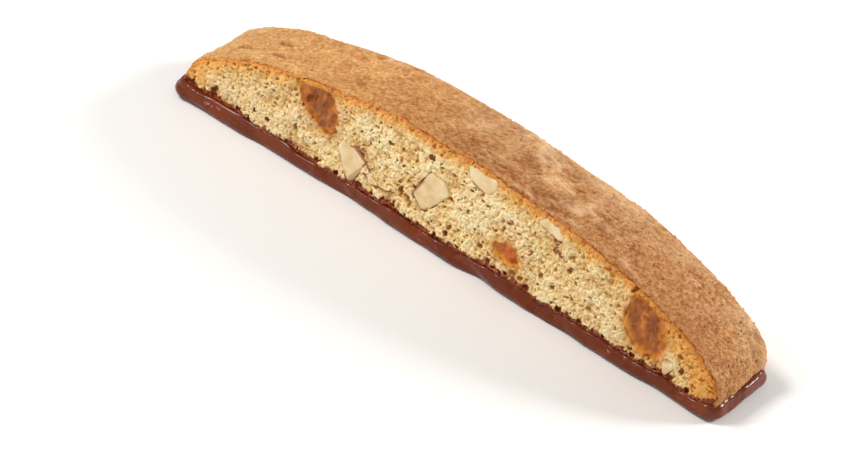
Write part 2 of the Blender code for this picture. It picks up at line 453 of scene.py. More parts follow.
def read_lip():
    """The CAD lip's height along X."""
    points = cad_points("chocolate_base")
    rim = points[(points[:, 1] < -CUT) & (points[:, 2] > 2)]
    bins = np.linspace(COAT_LOW[0], COAT_HIGH[0], 24)
    which = np.digitize(rim[:, 0], bins)
    found = [(rim[which == b, 0].mean(), rim[which == b, 2].max()) for b in np.unique(which)]
    return np.array(found)


def lay_lip():
    """The lip's height all the way round, and the pores that it dips under."""
    rng = np.random.default_rng(5)
    p = np.arange(0, ROUND_TRIP, 0.1)
    x, y, _, _ = coat_plan(p)
    cad = read_lip()
    height = np.interp(x, cad[:, 0], cad[:, 1]) - 0.15
    height += 0.35 * rise(-60, -67, x)
    height += rise(62, 66, x) * (0.45 + 0.8 * rise(-6, 8, y))
    height += mixed(6, (p,), (0.40, 6.0), (0.15, 2.2), (0.07, 0.9))
    at = np.cumsum(rng.uniform(2.5, 9.0, 400))
    at = at[at < ROUND_TRIP - 2]
    radius = rng.uniform(0.35, 0.75, len(at))
    on_cut = np.abs(coat_plan(at)[1]) > CUT
    at, radius = at[on_cut], radius[on_cut]
    return p, height, at, radius


LIP_AT, LIP_HEIGHT, PORE_AT, PORE_RADIUS = lay_lip()


def lip(p):
    """The chocolate's height at distance p round the base."""
    return np.interp(np.asarray(p) % ROUND_TRIP, LIP_AT, LIP_HEIGHT)


# ---- the crumb

# Pores of one kind: how many to a square millimetre, their radius, and how deep their middles lie
PORES = (
    (0.025, (0.42, 0.75), (0.0, 0.4)),
    (0.42, (0.20, 0.37), (-0.2, 0.3)),
    (0.35, (0.13, 0.22), (-0.2, 0.4)),
)
LIP_PORE_DEPTH = 0.2  # how deep the middles of the pores just above the chocolate lie
HOLE_DEPTH = 0.15
ALMOND_OVERLAP = {"front": 0.12, "back": 0.4}  # how far the crumb reaches over an almond's edge
CRUST_SHARE = 0.32  # how much of the edge is left to the crust
# Large holes of the front: X, Z and radius
HOLES = (
    (-64.5, 4.6, 0.5), (-59.0, 4.4, 0.5), (-20.1, 4.1, 0.55), (-17.3, 4.2, 0.45),
    (-11.9, 18.2, 0.5), (11.8, 5.2, 0.6), (17.8, 5.7, 0.7), (27.0, 8.0, 0.55), (35.7, 8.1, 0.55),
    (37.7, 19.2, 0.7), (39.0, 18.6, 0.6), (61.4, 5.2, 0.5), (62.9, 8.0, 0.45), (65.0, 7.3, 0.4),
)
# Thin bits of brown almond skin in the front: X and Z of both ends, and half the width
HUSKS = (
    (-17.6, 6.4, -14.4, 6.8, 0.16), (-14.4, 6.8, -12.2, 7.6, 0.16),
    (-22.6, 12.9, -20.6, 12.6, 0.14), (-20.2, 10.8, -18.6, 9.0, 0.20),
    (-19.8, 8.0, -19.2, 7.6, 0.2), (25.2, 18.6, 26.0, 17.4, 0.22),
    (26.2, 16.6, 27.6, 16.0, 0.26), (25.4, 16.2, 25.9, 15.9, 0.2),
)


def carve_balls(field, axes, centres, sizes, width):
    """Hollows out balls, each squashed its own way, with soft rims."""
    rng = np.random.default_rng(len(centres))
    stretch = rng.uniform(0.75, 1.3, (len(centres), 3))
    steps = [a[1] - a[0] for a in axes]
    for centre, radius, squash in zip(centres, sizes, stretch):
        window, away = [], 0
        for m in range(3):
            reach = radius * squash[m] + width
            first = max(0, int((centre[m] - reach - axes[m][0]) / steps[m]) + 1)
            last = min(len(axes[m]), int((centre[m] + reach - axes[m][0]) / steps[m]) + 1)
            window.append(slice(first, max(first, last)))
            shape = [1, 1, 1]
            shape[m] = -1
            away = away + ((axes[m][window[m]] - centre[m]) / squash[m]).reshape(shape) ** 2
        part = field[tuple(window)]
        if part.size:
            part[...] = smooth_min(part, np.sqrt(away) - radius, width)


def scatter_pores(rng, field, axes, top):
    """Hollows out the pores that lie under the crust."""
    xs, _, zs = axes
    area = np.ptp(xs) * np.ptp(zs)
    for density, sizes, depths in PORES:
        count = int(density * area)
        centres = np.stack([
            rng.uniform(xs[0], xs[-1], count),
            rng.uniform(*depths, count),
            rng.uniform(zs[0], zs[-1], count),
        ], 1)
        radii = sizes[0] + (sizes[1] - sizes[0]) * rng.random(count) ** 1.6
        under = centres[:, 2] < np.interp(centres[:, 0], xs, top) - 0.5
        carve_balls(field, axes, centres[under], radii[under], 0.25)


def lip_pores(side):
    """The pores just above the chocolate on one cut face: X, Z and radius."""
    x, y, _, _ = coat_plan(PORE_AT)
    here = (np.sign(y) == side) & (np.abs(x) < STRAIGHT_X)
    return x[here], lip(PORE_AT[here]) + 0.5 + 0.8 * PORE_RADIUS[here], PORE_RADIUS[here]


def husk_share(flat):
    """How much of each point of the front belongs to a bit of almond skin."""
    xs, zs = flat[0][:, None], flat[1][None, :]
    share = np.zeros((len(flat[0]), len(flat[1])), F)
    for x0, z0, x1, z1, half in HUSKS:
        dx, dz = x1 - x0, z1 - z0
        t = np.clip(((xs - x0) * dx + (zs - z0) * dz) / (dx**2 + dz**2), 0, 1)
        away = np.hypot(xs - x0 - t * dx, zs - z0 - t * dz)
        share = np.maximum(share, rise(half + 0.16, half, away))
    return share * (noise(96, flat, 0.6) > -0.5)


def torn_surface(seed, flat, edge, husk, over_lip):
    """How deep the knife and the tearing left each point of a cut face."""
    grains = 0.46 * nearest(seed + 1, flat, 1.5) ** 2 + 0.54 * nearest(seed + 2, flat, 0.54) ** 2
    torn = 0.24 * layered(seed + 3, flat, 3.2, 2) + 0.05 * noise(seed + 4, flat, 0.5)
    torn += grains - 0.33
    torn += 0.08 * rise(2.2, 0.3, edge) - 0.25 * husk
    return np.maximum(torn, -0.65) + 0.45 * rise(0.3, -0.5, over_lip)


def crumb_field(face, xs, ds, zs, edge, toffee, husk):
    """The crumb of a whole cut face: above zero where there is crumb."""
    side = SIDES[face]
    rng = np.random.default_rng(20 + side)
    flat, axes = (xs, zs), (xs, ds, zs)
    seed = 100 * (2 + side)
    over_lip = zs[None, :] - lip(trip(xs, side)).astype(F)[:, None]
    field = ds[None, :, None] - torn_surface(seed, flat, edge, husk, over_lip)[:, None, :]
    scatter_pores(rng, field, axes, np.interp(xs, *OUTLINES[0 if side < 0 else -1].T))
    pore_x, pore_z, pore_r = lip_pores(side)
    centres = np.stack([pore_x, np.full_like(pore_x, LIP_PORE_DEPTH), pore_z], 1)
    carve_balls(field, axes, centres, pore_r, 0.12)
    if side < 0:
        holes = np.array(HOLES)
        centres = np.stack([holes[:, 0], np.full(len(holes), HOLE_DEPTH), holes[:, 1]], 1)
        carve_balls(field, axes, centres, holes[:, 2], 0.15)
    field += 0.12 * noise(seed + 5, axes, 0.36)

    # room for the caramels, then for the almonds
    hollow = np.maximum(toffee[:, None, :] + 0.1, ds[None, :, None] - 1.3)
    field = smooth_min(field, hollow, 0.3)
    for node in pieces_of(ALMONDS, face):
        room = outline_distance(cut_outline(node), xs, zs) + ALMOND_OVERLAP[face]
        room += 0.24 * noise(seed + 7, flat, 1.1)
        field = np.minimum(field, np.maximum(room[:, None, :], ds[None, :, None] - 1.6))

    # a flat back, a crumbly border under the crust, and nothing at the grid's ends
    field[:, -3:] = 1
    crumbly = mixed(seed + 8, axes, (0.24, 0.6), (0.10, 1.8))
    field = np.minimum(field, (edge - CRUST_SHARE)[:, None, :] + crumbly)
    field[[0, -1]] = -1
    field[:, :, [0, -1]] = -1
    return field


def crumb(face, material):
    """The torn crumb of one cut face, in parts that overlap by a few cells."""
    side = SIDES[face]
    step = FACE_CELL[face]
    xs = np.arange(-HALF_LENGTH - 2 * step, HALF_LENGTH + 2 * step, step, dtype=F)
    ds = np.arange(-SLAB_PROUD, SLAB_DEPTH + step / 2, step, dtype=F)
    zs = np.arange(1.6, BISCUIT_HIGH[2] + 1, step, dtype=F)
    flat = (xs, zs)
    edge = edge_distance(side, xs, zs)
    toffee = caramel_distance(face, xs, zs)
    husk = husk_share(flat) if side < 0 else np.zeros_like(edge)
    ragged = layered(100 * (2 + side) + 6, flat, 1.6, 2)
    field = crumb_field(face, xs, ds, zs, edge, toffee, husk)
    parts = FACE_PARTS[face]
    cuts = np.linspace(0, len(xs), parts + 1).astype(int)
    for k in range(parts):
        here = slice(max(0, cuts[k] - 2), cuts[k + 1] + 2)
        block = field[here].copy()
        block[[0, -1]] = -1
        verts, quads = largest_part(*surface_nets(block, (xs[here], ds, zs)))
        depth = verts[:, 1]
        at = (verts[:, 0], verts[:, 2])
        placed = np.stack([at[0], side * (CUT - depth), at[1]], 1)
        above = at[1] - lip(trip(at[0], side))
        soak = sample(toffee, xs, zs, *at)
        piece = new_mesh(
            f"crumb_{face}_{k + 1}", placed, quads[:, ::-1] if side > 0 else quads,
            # how deep each point lies, which the finish paints as shade
            pit=depth,
            edge=sample(edge, xs, zs, *at),
            soak=np.exp(-np.maximum(soak, 0) / 0.9),
            stain=rise(1.5, 0.8, above + 0.45 * sample(ragged, xs, zs, *at) - 0.9 * depth),
            husk=sample(husk, xs, zs, *at),
        )
        close_openings(piece)
        dress(piece, material, "baked_dough", "biscuit")


# ---- the crust

CORNER = 0.32  # how round the crust turns over into the cut faces
CORNER_ROWS = 4
PRICKS = 110  # small pits of the crust, more of them towards the right
PRICK_REACH = 16  # how many grid cells one pit can change
# Small crescent dents near the left end: X, Y, radius, and the angles that each arc spans
DENTS = ((-56.5, -5.0, 2.0, 1.2, 2.5), (-48.1, -5.5, 1.6, 0.9, 2.4), (-50.2, -0.9, 2.2, 1.0, 2.3))


def arch_lines(count):
    """The crust's line at each station, at even steps along it, and which way it faces."""
    at = np.linspace(0, OUTLINE_POINTS - 1, count)
    i = np.minimum(at.astype(int), OUTLINE_POINTS - 2)
    part = (at - i)[None, :, None]
    line = OUTLINES[:, i] * (1 - part) + OUTLINES[:, i + 1] * part
    tangent = np.gradient(line, axis=1)
    tangent /= np.linalg.norm(tangent, axis=2)[..., None]
    return line, np.stack([-tangent[..., 1], tangent[..., 0]], -1)


def across(values, y):
    """Reads what is known at the stations at each Y of a grid."""
    place = (y - STATIONS[0]) / (STATIONS[1] - STATIONS[0])
    place = np.clip(place, 0, OUTLINE_STATIONS - 1.001)
    k = place.astype(int)
    part = (place - k)[..., None]
    rows = np.arange(len(y))[:, None]
    return values[k, rows] * (1 - part) + values[k + 1, rows] * part


def crust_relief(s, y, x):
    """The crust's relief over the grid of s and y, its flour with painted sheen, its pits, and its
    paleness, which is mottling and painted light on the raised grains.
    """
    rng = np.random.default_rng(31)
    axes = (s, y)
    swells = noise(43, axes, 2.6, 1.9)
    lumps = noise(44, axes, 0.95, 0.75)
    grains = noise(45, axes, 0.44, 0.40)
    relief = 0.30 * layered(41, axes, 8.0, 3) + 0.17 * swells + 0.10 * lumps + 0.10 * grains
    # paleness: random mottling, plus painted light where the crust stands up and painted shade
    # where it sinks
    pale = 0.12 * noise(42, axes, 5.5, 3.5) + 0.16 * swells + 0.34 * lumps + 0.80 * grains
    middle = (rise(-16, 2, x) * rise(52, 34, x))[:, None]
    back = rise(3.5, 7.5, y)[None, :]
    creased = np.maximum(middle, 0.9 * back) * np.clip(0.6 + 0.8 * noise(46, axes, 9, 4), 0, 1)
    wide, narrow = noise(47, axes, 6.0, 3.2), noise(48, axes, 2.8, 1.6)
    ridges = (1 - np.abs(wide)) ** 2 + 0.5 * (1 - np.abs(narrow)) ** 2
    relief += 0.45 * ridges * creased
    # paler along the raised ridges of the creases, a painted highlight
    pale += (0.7 * (ridges - 0.75) + 0.6 * noise(40, axes, 3.4, 2.2)) * creased
    patchy = np.clip(0.5 + 0.6 * noise(49, axes, 1.6, 1.2), 0, 1)
    # flour on the creased ridges, also a painted sheen where they would catch the light
    flour = np.clip(ridges * creased * patchy, 0, 1) ** 1.5
    pits = np.zeros_like(relief)
    for _ in range(PRICKS):
        i = int(np.searchsorted(x, 8 + 58 * rng.random() ** 0.7))
        j = rng.integers(PRICK_REACH, len(y) - PRICK_REACH)
        here = tuple(slice(max(0, k - PRICK_REACH), k + PRICK_REACH) for k in (i, j))
        away = (s[here[0], None] - s[min(i, len(s) - 1)]) ** 2 + (y[None, here[1]] - y[j]) ** 2
        pits[here] = np.maximum(pits[here], np.exp(-away / rng.uniform(0.14, 0.26) ** 2))
    for cx, cy, radius, start, end in DENTS:
        away = np.hypot(x[:, None] - cx, y[None, :] - cy) + 0.35 * swells
        angle = np.arctan2(y[None, :] - cy, x[:, None] - cx)
        fade = rise(start - 0.3, start + 0.2, angle) * rise(end + 0.3, end - 0.2, angle)
        arc = np.exp(-(((away - radius) / 0.26) ** 2)) * fade
        relief += 0.35 * np.exp(-(((away - radius - 0.7) / 0.5) ** 2)) * fade - 0.6 * arc
        pits = np.maximum(pits, arc)
    calm = 1 - 0.5 * rise(CUT - 2.5, CUT - 0.3, np.abs(y))
    return relief * calm - 0.34 * pits, flour, pits, pale


def crust(material):
    """The baked skin over the top, wrapped a little way down both cut faces."""
    count = int(ARCH_LENGTH / CRUST_STEP)
    s = np.linspace(0, ARCH_LENGTH, count).astype(F)
    line, facing = arch_lines(count)
    bend = np.linspace(0, pi / 2, CORNER_ROWS)
    inset = np.r_[0.7, 0, CORNER * (1 - np.cos(bend))]
    under = np.r_[1.3, 1.0, CORNER * (1 - np.sin(bend))]
    on_rim = np.r_[True, True, bend < 0]
    span = 2 * (CUT - CORNER)
    flat = np.linspace(-span / 2, span / 2, int(span / CRUST_STEP) + 1)[1:-1]
    y = np.r_[-CUT + inset, flat, (CUT - inset)[::-1]]
    w = np.r_[under, 0 * flat, under[::-1]]
    on_rim = np.r_[on_rim, flat > CUT, on_rim[::-1]]
    side = np.sign(y)
    x = line[OUTLINE_STATIONS // 2, :, 0]
    relief, flour, pits, pale = crust_relief(s, y.astype(F), x)
    ragged = [0.34 * noise(50 + k, (s,), 1.7) + 0.20 * noise(52 + k, (s,), 0.5) for k in (0, 1)]
    ragged = np.where(side[None, :] < 0, ragged[0][:, None], ragged[1][:, None])
    rim = 0.28 + 0.6 * np.abs(ragged) + 0.2 * ragged
    depth = np.where(on_rim, w * rim, w) - relief * np.where(on_rim, 0.3, 1)
    edge_on = rise(CUT - 1.0, CUT, np.abs(y))
    out = side * (-0.26 + 0.8 * ragged) * edge_on
    bitten = np.maximum(ragged, 0) * rise(CUT - 0.8, CUT - 0.1, np.abs(y)) * ~on_rim
    depth = depth + 0.5 * bitten
    y_all = y[None, :] + out
    point = across(line, y_all) - across(facing, y_all) * depth[..., None]
    verts = np.stack([point[..., 0], y_all, point[..., 1]], -1)
    piece = new_mesh(
        "crust", verts.reshape(-1, 3), wrapped(count, len(y)), flour=flour, pit=pits, pale=pale,
        rim=rise(CUT - 1.3, CUT - 0.2, np.abs(y) + 0.9 * ragged),
    )
    close_openings(piece)
    dress(piece, material, "baked_dough", "biscuit")


# ---- the chocolate base

COAT_PROUD = 0.08  # how far the wall stands outside the CAD base


def chocolate_coat(material):
    """The dipped coat, in rows from inside its lip, over it and down to the foot."""
    count = int(ROUND_TRIP / COAT_STEP)
    p = np.arange(count) * ROUND_TRIP / count
    rolls, ripples = noise(61, (p,), 5.5), 0.12 * noise(62, (p,), 3.1)
    x, y, ox, oy = coat_plan(p)
    top = lip(p)
    ends = 1.2 * rise(-56, -67, x) + 0.5 * rise(60, 66, x) * rise(10, 0, y)
    crest = 0.05 * noise(63, (p,), 0.8)
    foot = 0.5 + 0.35 * noise(64, (p,), 7.0)
    shoulder = ends + 0.5 * rise(60, 66, x)
    base_round = 1.1 + 0.5 * ends
    wide, tall = 0.42 + 0.75 * shoulder + crest, 0.5 + 0.35 * shoulder
    rows = [(1.9 + ends, top - 1.0), (1.3 + ends, top - 0.45), (0.95 + ends, top - 0.02)]
    for angle in np.linspace(0, pi / 2, 7):
        rows.append((wide * (1 - sin(angle)) - COAT_PROUD, top - tall * (1 - cos(angle))))
    for share in np.linspace(0, 1, 9)[1:]:
        inset = -COAT_PROUD * (1 - share) - foot * sin(pi / 2 * share) ** 1.2
        rows.append((inset, (top - tall) * (1 - share) + base_round * share))
    for angle in np.linspace(0, pi / 2, 9)[1:]:
        rows.append((base_round * (1 - cos(angle)) - foot, base_round * (1 - sin(angle))))
    rows.append((4.0, 0.0))
    verts = []
    for inset, z in rows:
        z = np.broadcast_to(z, p.shape)
        slant = p + 2.4 * z  # the rolls lean as they run down
        waves = 0.48 * np.interp(slant % ROUND_TRIP, p, rolls) + ripples - 0.1
        shift = (waves + ends) * rise(-0.3, 1.0, z) - inset
        verts.append(np.stack([x + ox * shift, y + oy * shift, z], 1))
    piece = new_mesh("chocolate_coat", np.concatenate(verts), wrapped(len(rows), count))
    close_openings(piece)
    dress(piece, material, "milk_chocolate", "chocolate_base")


# ---- almonds and caramels


def blurred(field, rounds):
    """Rounds off the field's sharp edges."""
    for _ in range(rounds):
        for axis in range(3):
            field = np.moveaxis(field, axis, 0)
            padded = np.concatenate([field[:1], field, field[-1:]])
            field = np.moveaxis((padded[:-2] + padded[1:-1] + padded[2:]) / 3, 0, axis)
    return field


def grid_over(low, high, step):
    """The axes of a grid that reaches three cells past the box on every side."""
    return [np.arange(a - 3 * step, b + 3 * step, step, dtype=F) for a, b in zip(low, high)]


ALMOND_PROUD = 0.2  # how far an almond stands out of the cut, because the crumb tears away round it
# Worn corners of the almonds: which way each faces in the cut face, in degrees from +X towards
# +Z, how far in it starts, and how steeply it falls away
CHIPS = {
    "almond_front_large": ((37, 0.95, 42), (-52, 0.35, 50), (150, 0.3, 60)),
    "almond_front_kite": ((-35, 1.3, 30), (160, 0.4, 50)),
    "almond_front_edge": ((250, 0.3, 50),),
    "almond_front_half": ((80, 0.2, 55), (-60, 0.4, 50)),
    "almond_front_low": ((120, 0.8, 35),),
    "almond_back_left": ((60, 0.9, 35),),
    "almond_back_high": ((-40, 1.0, 35),),
    "almond_back_large": ((140, 0.9, 40),),
    "almond_back_right": ((20, 0.7, 35),),
}
# Which way the brown skin's edge faces, and how far round it goes to each side
SKINS = {
    "almond_front_large": (205, 60), "almond_front_edge": (250, 60), "almond_front_kite": (40, 35),
    "almond_front_half": (-70, 30), "almond_front_low": (120, 0), "almond_back_left": (240, 50),
    "almond_back_high": (90, 40), "almond_back_large": (-60, 45), "almond_back_right": (150, 35),
}


def almond(node, material):
    """One chopped almond, its CAD shape with worn edges."""
    seed = 200 + ALMONDS.index(node)
    side = SIDES[node.split("_")[1]]
    points = cad_points(node)
    points[:, 1] += side * ALMOND_PROUD
    axes = grid_over(points.min(0), points.max(0), PIECE_CELL)
    x, y, z = (a.reshape([-1 if m == k else 1 for m in range(3)]) for k, a in enumerate(axes))
    field = np.full([len(a) for a in axes], FAR, F)
    face_y = points[:, 1].min() if side < 0 else points[:, 1].max()
    corners = cut_outline(node)
    chips = []
    for turn, inset, slope in CHIPS[node]:
        ux, uz = cos(radians(turn)), sin(radians(turn))
        reach = (corners @ np.array([ux, uz])).max() - inset
        fall, keep = cos(radians(slope)), sin(radians(slope))
        inside = (reach - x * ux - z * uz) * keep + side * (face_y - y) * fall
        chips.append(inside)
        field = np.minimum(field, inside)
    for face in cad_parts[node].data.polygons:
        nx, ny, nz = face.normal
        cx, cy, cz = points[face.vertices[0]]
        inside = -((x - cx) * nx + (y - cy) * ny + (z - cz) * nz)
        field = np.minimum(field, inside)
    field = blurred(field, 2) - 0.02 + 0.05 * noise(seed, axes, 1.3)
    field += 0.025 * noise(seed + 50, axes, 0.5)
    verts, quads = surface_nets(field, axes)
    xs, zs = axes[0], axes[2]
    deep = sample(outline_distance(corners, xs, zs), xs, zs, verts[:, 0], verts[:, 2])
    middle = corners.mean(0)
    turn, spread = (radians(a) for a in SKINS[node])
    angle = np.arctan2(verts[:, 2] - middle[1], verts[:, 0] - middle[0]) - turn
    off = np.abs((angle + pi) % (2 * pi) - pi)
    skin = rise(-0.8, -0.5, deep) * rise(spread + 0.2, spread, off)
    cell = [
        np.clip(((verts[:, m] - a[0]) / PIECE_CELL).round().astype(int), 0, len(a) - 1)
        for m, a in enumerate(axes)
    ]
    # painted shade on the facet of the first worn corner
    chip = rise(0.2, 0.05, np.abs(chips[0])[tuple(cell)])
    piece = new_mesh(node + "_nut", verts, quads, skin=skin, chip=chip)
    dress(piece, material, "almond", node)


# How much darker than the others a caramel is, and how much redder its middle
TOASTED = {"caramel_front_left": 1.0, "caramel_back_left": 0.5, "caramel_front_right": 0.25}
RUDDY = {"caramel_front_small": 1.0, "caramel_back_middle": 0.5}


def toffee(node, material):
    """One melted caramel, glossy and lumpy where the cut opened it."""
    seed = 300 + 10 * CARAMELS.index(node)
    face = node.split("_")[1]
    side = SIDES[face]
    corners = cut_outline(node)
    low, high = corners.min(0) - 1.2, corners.max(0) + 1.2
    axes = grid_over((low[0], -0.3, low[1]), (high[0], SLAB_DEPTH - 0.3, high[1]), PIECE_CELL)
    xs, ds, zs = axes
    flat = (xs, zs)
    reach = outline_distance(corners, xs, zs) + wander(face, xs, zs)
    top = 0.22 + 0.5 * noise(seed + 1, flat, 1.3, 2.0) + 0.14 * noise(seed + 2, flat, 0.6, 0.9)
    top = top - 0.15 * rise(-0.8, 0.2, reach)
    field = smooth_min(ds[None, :, None] - top[:, None, :], (0.45 - reach)[:, None, :], 0.3)
    field = np.minimum(field, (SLAB_DEPTH - 0.35 - ds)[None, :, None])
    rng = np.random.default_rng(seed)
    count = int(0.14 * np.prod(high - low))
    radii = rng.uniform(0.5, 0.95, count)
    bubbles = np.stack([
        rng.uniform(low[0], high[0], count), 0.2 - 0.5 * radii, rng.uniform(low[1], high[1], count),
    ], 1)
    carve_balls(field, axes, bubbles, radii, 0.1)
    # under the crust, and above the lip
    within = np.minimum(edge_distance(side, xs, zs) - 0.3, zs - 3.0)
    field = np.minimum(field, within[:, None, :])
    verts, quads = largest_part(*surface_nets(field, axes))
    at = (verts[:, 0], verts[:, 2])
    placed = np.stack([at[0], side * (CUT - verts[:, 1]), at[1]], 1)
    inward = sample(reach, xs, zs, *at)
    piece = new_mesh(
        node + "_melt", placed, quads[:, ::-1] if side > 0 else quads,
        core=0.9 * rise(0.2, -2.2, inward) + 0.75 * TOASTED.get(node, 0),
        ruddy=rise(-0.3, -1.2, inward) * RUDDY.get(node, 0),
    )
    dress(piece, material, "caramel", node)


# ---- materials


def linear(red, green, blue):
    """A colour of the screen as the render counts it."""
    return [((c / 255 + 0.055) / 1.055) ** 2.4 for c in (red, green, blue)]


class Paint:
    """A material's nodes, made one after another."""

    def __init__(self, name, roughness, specular=0.5, coat=0.0, coat_roughness=0.03):
        self.material = bpy.data.materials.new(name)
        self.material.use_nodes = True
        self.tree = self.material.node_tree
        self.surface = self.tree.nodes["Principled BSDF"].inputs
        self.give("Roughness", roughness)
        self.give("Specular IOR Level", specular)
        self.give("Coat Weight", coat)
        self.give("Coat Roughness", coat_roughness)
        self.place = self.node("TexCoord").outputs["Object"]

    def feed(self, socket, value):
        """Links a socket to a node's output, or sets it."""
        if isinstance(value, bpy.types.NodeSocket):
            self.tree.links.new(value, socket)
        else:
            socket.default_value = (*value, 1) if socket.type == "RGBA" else value

    def give(self, socket, value):
        self.feed(self.surface[socket], value)

    def node(self, kind, *values, **settings):
        """A new node with its settings made and its first sockets fed."""
        node = self.tree.nodes.new("ShaderNode" + kind)
        for name, setting in settings.items():
            setattr(node, name, setting)
        for socket, value in zip(node.inputs, values):
            self.feed(socket, value)
        return node

    def stored(self, name):
        """A number that the mesh keeps at each vertex."""
        return self.node("Attribute", attribute_name=name).outputs["Fac"]

    def ramp(self, value, *stops):
        """A colour read between stops, each a place and a colour."""
        node = self.node("ValToRGB", value)
        elements = node.color_ramp.elements
        for _ in stops[2:]:
            elements.new(0.5)
        for element, (place, color) in zip(elements, stops):
            element.position = place
            element.color = (*color, 1)
        return node.outputs[0]

    def spread(self, value, low, high, new_low=0.0, new_high=1.0):
        """The span from low to high stretched over a new one, and held at its ends."""
        return self.node("MapRange", value, low, high, new_low, new_high).outputs[0]

    def mix(self, share, a, b, blend="MIX"):
        node = self.node("Mix", data_type="RGBA", blend_type=blend)
        for k, value in ((0, share), (6, a), (7, b)):
            self.feed(node.inputs[k], value)
        return node.outputs[2]

    def tinted(self, share, color, *screen_color):
        """The colour turned by a share towards another."""
        return self.mix(share, color, linear(*screen_color))

    def filtered(self, share, color, *factors):
        """The colour multiplied by a share of the factors."""
        return self.mix(share, color, factors, "MULTIPLY")

    def maths(self, operation, a, b):
        return self.node("Math", a, b, operation=operation).outputs[0]

    def plus(self, a, b):
        return self.maths("ADD", a, b)

    def times(self, a, b):
        return self.maths("MULTIPLY", a, b)

    def grain(self, size, detail=2.0, stretch=(1, 1, 1), seed=0.0):
        """Noise whose lumps are about as long as size, in millimetres."""
        moved = self.node("Mapping", self.place, (seed, seed * 0.7, seed * 0.3), (0, 0, 0), stretch)
        return self.node("TexNoise", moved.outputs[0], 0, 1000 / size, detail).outputs[0]

    def clouds(self, size, *span, **kind):
        """Grain of that size, with its span stretched as by spread."""
        return self.spread(self.grain(size, **kind), *span)

    def cells(self, size):
        """Distance to the nearest of scattered points about size apart, in cells."""
        return self.node("TexVoronoi", self.place, 0, 1000 / size).outputs["Distance"]

    def along(self, axis):
        """Where a point lies along an axis of the frame, in millimetres."""
        return self.times(self.node("SeparateXYZ", self.place).outputs[axis], 1000)

    def bump(self, height, size, strength=1.0):
        """Fine unevenness, size millimetres high."""
        node = self.node("Bump")
        self.feed(node.inputs["Height"], height)
        node.inputs["Distance"].default_value = size * MM
        node.inputs["Strength"].default_value = strength
        self.give("Normal", node.outputs[0])
        self.give("Coat Normal", node.outputs[0])

    def glow_through(self, share, radius, scale):
        """Light that enters the piece and comes out again nearby."""
        self.give("Subsurface Weight", share)
        self.give("Subsurface Radius", radius)
        self.give("Subsurface Scale", scale * MM)

    def finish(self, color):
        self.give("Base Color", color)
        return self.material


def crumb_finish():
    """Pale crumb with painted shade deeper in its pores, toasted under the crust, soaked near the
    caramels, and with painted shade over its left end.
    """
    paint = Paint("baked_crumb", 0.8, specular=0.3)
    # painted shade: the deeper into a pore, the darker the crumb
    depth = paint.plus(paint.stored("pit"), paint.clouds(1.4, 0, 1, -0.2, 0.2))
    pit = paint.spread(depth, -0.3, 1.1)
    color = paint.ramp(
        pit,
        (0.0, linear(252, 234, 191)), (0.22, linear(236, 205, 147)),
        (0.5, linear(201, 154, 93)), (0.85, linear(156, 102, 48)),
    )
    warm = paint.filtered(paint.clouds(7.0, 0.35, 0.7), color, 1.0, 0.93, 0.78)
    warm = paint.filtered(paint.clouds(0.5, 0.5, 0.68, 0, 0.8, seed=8.0), warm, 0.78, 0.66, 0.46)
    edge = paint.stored("edge")
    x = paint.along(0)
    # painted shade over the crumb's left end
    warm = paint.filtered(paint.spread(x, -15, -50), warm, 0.9, 0.86, 0.8)
    end = paint.plus(paint.spread(x, 48, 64, 0, 3.8), paint.spread(x, -56, -66, 0, 2.0))
    band = paint.maths("SUBTRACT", edge, end)
    band = paint.plus(band, paint.clouds(2.6, 0.3, 0.7, -1.1, 0.9, seed=3.0))
    # the toasted band, with painted shade deeper in its pores
    toast = paint.ramp(
        paint.spread(paint.plus(edge, paint.spread(pit, 0, 1, 0.8, -1.2)), 0.0, 2.4),
        (0.0, linear(180, 98, 40)), (0.3, linear(220, 146, 66)), (1.0, linear(238, 186, 106)),
    )
    toast = paint.filtered(paint.clouds(0.8, 0.5, 0.66, 0, 0.6, seed=17.0), toast, 0.74, 0.52, 0.32)
    color = paint.mix(paint.spread(band, 1.5, 3.8, 1.0, 0.0), warm, toast)
    color = paint.filtered(paint.spread(x, 46, 62), color, 0.93, 0.84, 0.68)
    soak = paint.times(paint.stored("soak"), paint.clouds(1.5, 0.3, 0.7, 0.5, 1.2, seed=9.0))
    color = paint.tinted(soak, color, 206, 136, 56)
    color = paint.tinted(paint.stored("husk"), color, 146, 74, 44)
    stain = paint.stored("stain")
    color = paint.tinted(stain, color, 142, 68, 36)
    paint.give("Roughness", paint.spread(stain, 0, 1, 0.8, 0.25))
    paint.glow_through(0.6, (0.8, 0.6, 0.4), 0.6)
    paint.bump(paint.grain(0.3, 3.0), 0.1, 0.7)
    return paint.finish(color)


